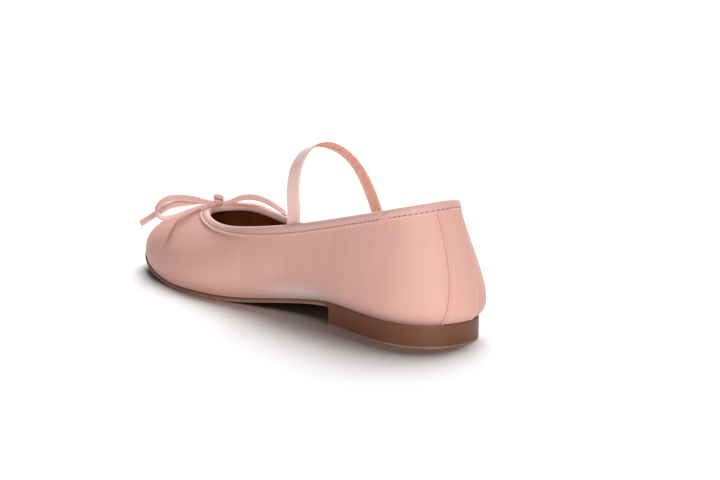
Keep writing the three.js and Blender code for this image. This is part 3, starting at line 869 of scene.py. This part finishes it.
def bindingPiece():
    # the folded strip's section, carried round the collar: puckered between stitches, stepped where it laps
    face, _ = smoothPath(binding["face"], binding["sections"])
    slot = binding["slot"]
    hidden = [(binding["tuck"], -last["wall"] - slot), (-slot, -last["wall"] - slot), (-slot, slot),
              (binding["drop"], slot)]
    section = np.concatenate([face, hidden])
    u, distance, around = evenRing(binding["around"], collarLine)
    depth = np.broadcast_to(section[:, 0], (len(u), len(section)))
    offset = np.array(np.broadcast_to(section[:, 1], depth.shape))
    shown = np.arange(len(section)) < binding["sections"]
    outer = shown & (section[:, 1] > 0)
    count = int(around / binding["stitch"])
    between = 0.5 + 0.5 * np.cos(2 * np.pi * (distance / around * count - 0.5))

    def flattened(distance):
        # way to the back seam, the shorter one round, and how much flatter the strip is there
        seam = np.minimum(distance, around - distance)[:, None]
        return seam, binding["flatter"] * hill(seam, binding["flatterReach"])

    seam, less = flattened(distance)
    offset *= 1 - outer * less
    pucker = binding["pucker"] * hill(section[:, 0] - binding["stitchDepth"], binding["puckerReach"])
    offset -= outer * pucker * between[:, None]
    x = ringAt(u)[:, 2:3]
    lapFrom = binding["lapAlong"] + binding["lapSlant"] * (depth - binding["lapMiddle"])
    lap = 1 - ease(x, lapFrom, lapFrom + binding["lapEdge"])
    lap *= ease(x, lapFrom - binding["lapLength"], lapFrom) * (u < 0.5)[:, None]
    lap = lap * binding["lapStep"]
    offset += shown * lap * np.where(section[:, 1] > binding["insideFrom"], 1, binding["lapInside"])
    points, _, _ = wallAt(u, depth, offset)
    # the tight fold below the stitches takes the paler satin: a painted highlight
    fold = np.tile(outer & (section[:, 0] > binding["foldHighlightBelow"]), len(u))
    addPiece("collar_binding", points, shellFaces(points, True), [trimSatin, litRibbonSatin],
             cloth=clothMap(points, seam, depth), finishOf=fold, stands=["topline_binding"])

    u, distance, _ = evenRing(count, collarLine)
    _, less = flattened(distance)
    depth = np.full((len(u), 1), binding["stitchDepth"])
    middle, normal, rise = wallAt(u, depth, binding["stitchOut"] * (1 - less))
    along = unit(np.cross(normal, rise))
    middle, along, normal = middle[:, 0], along[:, 0], normal[:, 0]
    stitchRow("binding_stitches", middle, along, normal, binding, darkThread)


bindingPiece()


# Backstay

backstay = {
    "half": 0.0222, "narrowest": 0.62, "flare": 0.0443, "rows": 120, "columns": 61, "low": 0.03, "top": 3.8,
    "outer": (-0.404, 1.582, 0.422),       # square, plain and fixed part of its width outside, up the heel
    "lift": 0.78, "edge": 0.45, "edgeCrowd": 1.6, "under": 0.08, "below": 0.03, "height": 60,
    "rim": 0.26, "rimAt": 0.65, "rimWidth": 0.45, "rimLoss": 0.7, "rimLossAt": (0.3, 0.5),
    "stitchIn": 1.8, "stitch": 2.2, "stitchLength": 1.3, "stitchRadius": 0.11, "stitchUp": (4.4, 56),
    "groove": 0.1, "grooveWidth": 0.35, "stitchSink": 0.08,
}


def backstayAt(share, across, offset):
    # place on the wall: share of the way up, across from -1 to 1 of the strip's width, which flares as the
    # square of the distance from its narrowest. Outside, a square curve grows up the heel: the strip leans
    half = backstay["half"] + backstay["flare"] * (share - backstay["narrowest"]) ** 2
    outer = np.polyval(backstay["outer"], share)
    u = (half[:, None] * across * np.where(across < 0, outer[:, None], 1)).ravel()
    depth = np.maximum((1 - np.repeat(share, across.shape[1])) * wallLength(u), backstay["top"])
    found = wallAt(u, depth[:, None], np.broadcast_to(offset, across.shape).reshape(-1, 1))
    return [part.reshape(*across.shape, 3) for part in found]


def backstayPiece():
    # rises from the wall over a rounded edge, with a rolled rim just inside it, then lies level
    share = np.linspace(backstay["low"], 1, backstay["rows"])
    even = np.linspace(-1, 1, backstay["columns"])
    across = np.tile(np.sign(even) * (1 - (1 - np.abs(even)) ** backstay["edgeCrowd"]), (len(share), 1))
    run = running(backstayAt(share, across, 0.0)[0])
    fromEdge = np.minimum(run, run[:, -1:] - run)
    edge = 1 - (1 - np.clip(fromEdge / backstay["edge"], 0, 1)) ** 2
    offset = backstay["under"] + (backstay["lift"] - backstay["under"]) * np.sqrt(edge)
    weaker = 1 - backstay["rimLoss"] * ease(share, *backstay["rimLossAt"])[:, None]
    rolled = np.where(across < 0, weaker, 1)     # weaker high on the outer side
    offset += backstay["rim"] * hill(fromEdge - backstay["rimAt"], backstay["rimWidth"]) * rolled
    offset -= backstay["groove"] * hill(fromEdge - backstay["stitchIn"], backstay["grooveWidth"])
    face = backstayAt(share, across, offset)[0]
    below = backstayAt(share, across[:, ::-1], backstay["below"])[0]
    points = np.concatenate([face, below], 1)
    tall = (1 - share)[:, None] * backstay["height"]
    addPiece("back_strip", points, bandFaces(points), [upperSatin], stands=["backstay"],
             cloth=clothMap(points, np.concatenate([run, run[:, ::-1]], 1), tall))

    rows = np.arange(*backstay["stitchUp"], backstay["stitch"]) / backstay["height"]
    inset = np.interp(rows, share, backstay["stitchIn"] / (run[:, -1] / 2))
    side = np.stack([-(1 - inset), 1 - inset], 1)
    middle, normal, rise = [
        part.reshape(-1, 3) for part in backstayAt(rows, side, backstay["lift"] - backstay["stitchSink"])]
    stitchRow("back_strip_stitches", middle, rise, normal, backstay, matchingThread)


backstayPiece()


# Instep band

strap = {
    "width": 9.0, "thick": 1.3, "steps": 180, "corner": 0.42, "sides": 28,
    "along": 0.375, "skew": 0.21, "depths": (13, 8, 3), "seat": 3, "overlay": 0.8,
    "lean": 22, "turn": 0.007, "mostTurn": 0.08,   # in degrees; turned per mm off the middle
    "flat": 9, "flatAt": -9, "flatReach": 10,      # leans less past the top, on the outer side
    # across and height of its free arch, inner side to outer side
    "arch": [(24.6, 53), (25, 66.6), (22.5, 78.3), (16.8, 85.5), (9.2, 87.5), (-0.1, 84.6), (-9.2, 77),
             (-17.1, 64.2)],
}


def collarPlace(along, inner):
    # place where the collar reaches a distance along the shoe, on one side
    u = np.linspace(0, 0.5, ringSteps + 1)
    place = np.interp(along, ringAt(u if inner else 1 - u)[:, 2], u)
    return np.array([place if inner else 1 - place])


def strapPiece():
    # a flat band: up the inside of the collar, over the instep and down the other side
    seat = -(last["wall"] + strap["overlay"] + strap["seat"] * last["gap"] + strap["thick"] / 2)
    middle = strap["along"] * soleLength
    off = strap["skew"] * ringAt(collarPlace(middle, True))[0, 3]
    depths = np.array([strap["depths"]], float)
    inner = wallAt(collarPlace(middle + off, True), depths, seat)[0][0]
    outer = wallAt(collarPlace(middle - off, False), depths, seat)[0][0]
    arch = np.array([(middle + strap["skew"] * across, across, height) for across, height in strap["arch"]])
    path, run = smoothPath(np.concatenate([inner, arch, outer[::-1]]), strap["steps"])
    turned = np.clip(strap["turn"] * path[:, 1], -strap["mostTurn"], strap["mostTurn"])
    lean = strap["lean"] - strap["flat"] * hill(path[:, 1] - strap["flatAt"], strap["flatReach"])
    widthAxis = np.column_stack([np.ones(len(path)), turned, -np.tan(np.radians(lean))])
    _, across, face = bandFrames(path, widthAxis)
    section = roundedSection(strap["width"], strap["thick"], strap["sides"], strap["corner"])
    points = carry(path, across, face, section)
    side = section[:, 1] + np.roll(section[:, 1], -1)
    # the inner face takes the darker copy of the elastic: painted shade
    under = np.append(np.tile(side < 0, len(path) - 1), [False, False])      # its inner face, not the ends
    addPiece("instep_elastic", points, bandFaces(points), [wovenElastic, shadedElasticBack],
             cloth=clothMap(points, run[:, None], section[:, 0]), finishOf=under, stands=["elastic_strap"])


strapPiece()


# Ribbon bow

bow = {
    "along": 193.6, "rise": 4.0, "width": 3.7, "thick": 1.1, "sides": 32, "corner": 0.45,
    "thin": 0.25, "thinFrom": (0.1, 0.5),         # towards its open edge, in shares of the width
    "stitch": 1.9, "stitchLength": 1.1, "stitchRadius": 0.14, "stitchFrom": 7, "tailEnd": 0.8,
    "groove": 0.2, "grooveAt": 0.1, "grooveWidth": 0.35,
    "pinch": (2.5, 14), "pinchWidth": 0.45, "pinchLift": 0.7, "pinchSag": 1.5,   # drawn in at the knot
    "rootReach": 0.6, "rootLift": 0.4, "rootDrift": 0.5,       # where a strip starts inside the knot
    "turnOver": (0.35, 0.7), "loopSteps": 150, "tailSteps": 90,
    # heading and first and last tilt in degrees, drift at the knot, then reach from the knot and lift from
    # its middle; a strip that comes back is a loop
    "strips": {
        "bow_loop_medial": (62.7, -60, -20, 0, [
            (3.4, 1.5), (9.4, 0.9), (16, 1.8), (22.7, 2.6), (28.2, 2), (32.7, -0.7), (34.7, -4.2),
            (33.6, -7.2), (30.6, -8.5), (26.2, -8.1), (20.1, -6.3), (15.1, -4.5), (9.3, -3), (3.4, -1.7)]),
        "bow_loop_lateral": (237.2, 50, 12, 0, [
            (3.4, 1), (8, 1), (12, 1.4), (17.6, 1.7), (22.6, 0.7), (26, -0.7), (31, -3.7), (35.4, -6.9),
            (37, -8.4), (35, -9.2), (28.2, -6), (21.5, -3.1), (15.4, -2.1), (9.4, -1.5), (3.4, -1.1)]),
        "bow_tail_medial": (47, -72, -60, -3, [
            (3.1, -0.6), (8, -0.3), (18, -1.6), (27.2, -3.4), (33.8, -7.2), (40, -11.2), (43.6, -13.5)]),
        "bow_tail_lateral": (-42, 30, 30, -0.8, [
            (3, -0.8), (8, -1.8), (14, -4.4), (20, -7.1), (26, -10.8), (31, -15.1)]),
    },
}
knotMiddle = np.array([bow["along"], 0, last["instepHeight"] + bow["rise"]])


def level(heading):
    # level direction of a heading in degrees
    return np.array([np.cos(np.radians(heading)), np.sin(np.radians(heading)), 0])


def stripSection():
    # a folded strip: round at the fold, thinner at its open edge, grooved along the stitching on both faces
    section = roundedSection(bow["width"], bow["thick"], bow["sides"], bow["corner"])
    thin = 1 - bow["thin"] * ease(section[:, 0] / bow["width"], *bow["thinFrom"])
    groove = bow["groove"] * hill(section[:, 0] - bow["grooveAt"], bow["grooveWidth"])
    section[:, 1] = section[:, 1] * thin - np.sign(section[:, 1]) * groove
    return section


def stripPiece(node, heading, tilt, lastTilt, drift, rows):
    # the path leaves the knot along its heading, and its width leans by the tilt, which turns along a loop
    ahead = level(heading)
    beside = np.array([-ahead[1], ahead[0], 0])
    rows = np.array(rows, float)
    part = np.linspace(0, 1, len(rows))[:, None]
    path = knotMiddle + ahead * rows[:, :1] + upward * rows[:, 1:] + beside * drift * (1 - part) ** 2
    loop = rows[-1, 0] < rows[1, 0]

    def root(row):
        # a point inside the knot, towards one end of the path
        return knotMiddle + ahead * bow["rootReach"] + upward * bow["rootLift"] * row[1]

    path = np.concatenate([[root(rows[0]) + beside * drift * bow["rootDrift"]], path])
    if loop:
        path = np.concatenate([path, [root(rows[-1])]])
    path, run = smoothPath(path, bow["loopSteps"] if loop else bow["tailSteps"])
    pinch = 1 - ease((path - knotMiddle) @ ahead, *bow["pinch"])
    path[:, 2] -= pinch * (bow["pinchLift"] * (path[:, 2] - knotMiddle[2]) + bow["pinchSag"])
    turned = np.radians(tilt + (lastTilt - tilt) * ease(run / run[-1], *bow["turnOver"]))[:, None]
    along, across, face = bandFrames(path, beside * np.cos(turned) + upward * np.sin(turned))
    section = stripSection()
    narrow = np.column_stack([1 - bow["pinchWidth"] * pinch, np.ones(len(path))])
    points = carry(path, across, face, section * narrow[:, None])
    addPiece(node.replace("bow_", "ribbon_"), points, bandFaces(points), [litRibbonSatin],
             cloth=clothMap(points, run[:, None], section[:, 0]), stands=[node])
    at = np.arange(bow["stitchFrom"], run[-1] - bow["stitchFrom" if loop else "tailEnd"], bow["stitch"])
    line, ways, outs, sides = [
        np.column_stack([np.interp(at, run, whole[:, k]) for k in range(3)])
        for whole in (path, along, face, across)]
    lift = bow["thick"] / 2 - bow["groove"]
    middle = np.concatenate([line + outs * lift, line - outs * lift])
    middle += bow["grooveAt"] * np.tile(sides, (2, 1))
    return middle, np.tile(ways, (2, 1)), np.concatenate([outs, -outs])


def bowPieces():
    # the strips one by one, and the stitches of all of them
    rows = [stripPiece(node, *strip) for node, strip in bow["strips"].items()]
    middle, along, normal = [np.concatenate(part) for part in zip(*rows)]
    stitchRow("ribbon_stitches", middle, unit(along), unit(normal), bow, paleThread)


bowPieces()

knot = {
    "depth": 5.4, "height": 6.8, "lift": 0.6, "wrapWidth": 5.2, "wrapThick": 1.5, "slant": 0.3, "lag": 0.35,
    "turns": 160, "sides": 24, "corner": 0.75,
    # narrower low down, and on top
    "taper": 0.25, "taperFrom": (-0.6, 0.7), "crown": 0.35, "crownFrom": (0.6, 1),
    # where its end is tucked in, in degrees, and how dark the tuck is painted: painted shade
    "tuckAt": 168, "tuckLean": -45, "tuckWide": 9, "tuckDepth": 0.6, "tuckEdge": 0.5, "tuckShade": 0.9,
}


def knotPiece():
    # a strip wound once round the gathered ribbons: an ellipse that slants along the bow's line
    line = unit(level(bow["strips"]["bow_loop_medial"][0]) - level(bow["strips"]["bow_loop_lateral"][0]))
    beside = np.array([line[1], -line[0], 0])
    turn = np.linspace(0, 2 * np.pi, knot["turns"], endpoint=False)[:, None]
    section = roundedSection(knot["wrapWidth"], knot["wrapThick"], knot["sides"], knot["corner"])
    wide, high = (knot["depth"] - knot["wrapThick"]) / 2, (knot["height"] - knot["wrapThick"]) / 2
    ring = (knotMiddle + beside * wide * np.cos(turn) + upward * (knot["lift"] + high * np.sin(turn))
            + line * knot["slant"] * np.sin(turn + knot["lag"]))
    way = unit(np.roll(ring, -1, 0) - np.roll(ring, 1, 0))
    across = unit(line - way * np.sum(way * line, 1, keepdims=True))
    narrow = 1 - knot["taper"] * ease(-np.sin(turn), *knot["taperFrom"])
    narrow = narrow - knot["crown"] * ease(np.sin(turn), *knot["crownFrom"])
    points = carry(ring, across * narrow, np.cross(way, across), section)
    outward = unit(ring - ring.mean(0))[:, None]
    above = np.sum((points - ring[:, None]) * outward, -1)
    tuck = np.degrees(turn) - knot["tuckAt"] - knot["tuckLean"] * section[:, 0] / knot["wrapWidth"]
    tuck = hill(tuck, knot["tuckWide"]) * ease(above, 0, knot["tuckEdge"])
    points -= outward * (knot["tuckDepth"] * tuck)[..., None]
    # the tuck's groove is darkened by the crease field: painted shade
    addPiece("ribbon_knot", points, shellFaces(points, True), [litRibbonSatin],
             cloth=points[..., [0, 2]], fields={"creaseShade": knot["tuckShade"] * tuck}, stands=["bow_knot"])


knotPiece()


# Stage: pale floor, soft boxes, the photograph's camera

stage = {
    "floor": "#f9f9f9", "mottle": "#f6f6f6", "floorSize": 12.0, "sky": "#ffffff", "skyStrength": 0.06,
    # place and aim in millimetres from the back of the sole, width and height in metres, watts
    "lights": {
        "top_box": ((1120, -1481, 2285), (121, 0, 0), (2.4, 2.4), 156),
        "front_box": ((-1075, 808, 430), (121, 0, 40), (1.4, 0.5), 22.5),
    },
    "flagged": ["front_box"],                    # lights kept off the floor
}


def stageSet():
    # a square board on the ground, an even sky and the lights, each turned to its aim
    half = stage["floorSize"] / 2
    corners = [(-half, -half, 0), (half, -half, 0), (half, half, 0), (-half, half, 0)]
    mesh = bpy.data.meshes.new("floor")
    mesh.from_pydata(corners, [], [range(4)])
    # matt painted board: even, with the faintest mottle
    paper, tree, shader = newFinish("matt_board", {"Roughness": 0.9, "IOR": 1.3})
    mottle = addNode(tree, "TexNoise", {"Scale": 6.0}, {"Vector": addNode(tree, "TexCoord")})
    join(tree, shader, {"Base Color": addRamp(tree, mottle, (stage["mottle"], stage["floor"]))})
    mesh.materials.append(paper)
    floor = newObject("floor", mesh)
    world = bpy.data.worlds.new("studio")
    world.use_nodes = True
    background = world.node_tree.nodes["Background"]
    background.inputs["Color"].default_value = linear(stage["sky"])
    background.inputs["Strength"].default_value = stage["skyStrength"]
    bpy.context.scene.world = world
    shoe = bpy.data.collections.new("shoe")
    for piece in bpy.data.objects:
        if piece.type == "MESH" and piece is not floor:
            shoe.objects.link(piece)
    for name, (place, aim, (wide, high), watts) in stage["lights"].items():
        lamp = bpy.data.lights.new(name, "AREA")
        lamp.shape = "RECTANGLE"
        lamp.size, lamp.size_y, lamp.energy = wide, high, watts
        box = newObject(name, lamp)
        box.location = toFrame(place)
        box.rotation_euler = Vector(toFrame(aim) - toFrame(place)).to_track_quat("-Z", "Y").to_euler()
        if name in stage["flagged"]:
            box.light_linking.receiver_collection = shoe


camera = {
    "from": (-710.9, 683.6, 263.9), "turn": 39.44, "fall": 12.01,   # millimetres and degrees
    "focal": 2099, "frame": (720, 480), "axisAt": (303.7, 235.3),   # pixels
    "sensor": 36, "clip": (0.05, 50),
}


def cameraSet():
    # focal length and axis from pixels to shares of the frame's width; it looks along its turn and fall
    turn, fall = np.radians(camera["turn"]), np.radians(camera["fall"])
    way = Vector((np.cos(fall) * np.cos(turn), -np.cos(fall) * np.sin(turn), -np.sin(fall)))
    lens = bpy.data.cameras.new("photo_camera")
    wide, high = camera["frame"]
    lens.sensor_width = camera["sensor"]
    lens.lens = camera["focal"] / wide * lens.sensor_width
    lens.shift_x = (wide / 2 - camera["axisAt"][0]) / wide
    lens.shift_y = (camera["axisAt"][1] - high / 2) / wide
    lens.clip_start, lens.clip_end = camera["clip"]
    stand = newObject("photo_camera", lens)
    stand.location = toFrame(camera["from"])
    stand.rotation_euler = way.to_track_quat("-Z", "Y").to_euler()
    bpy.context.scene.camera = stand
    bpy.context.scene.view_settings.view_transform = "Standard"


stageSet()
cameraSet()
print("stage and camera set")
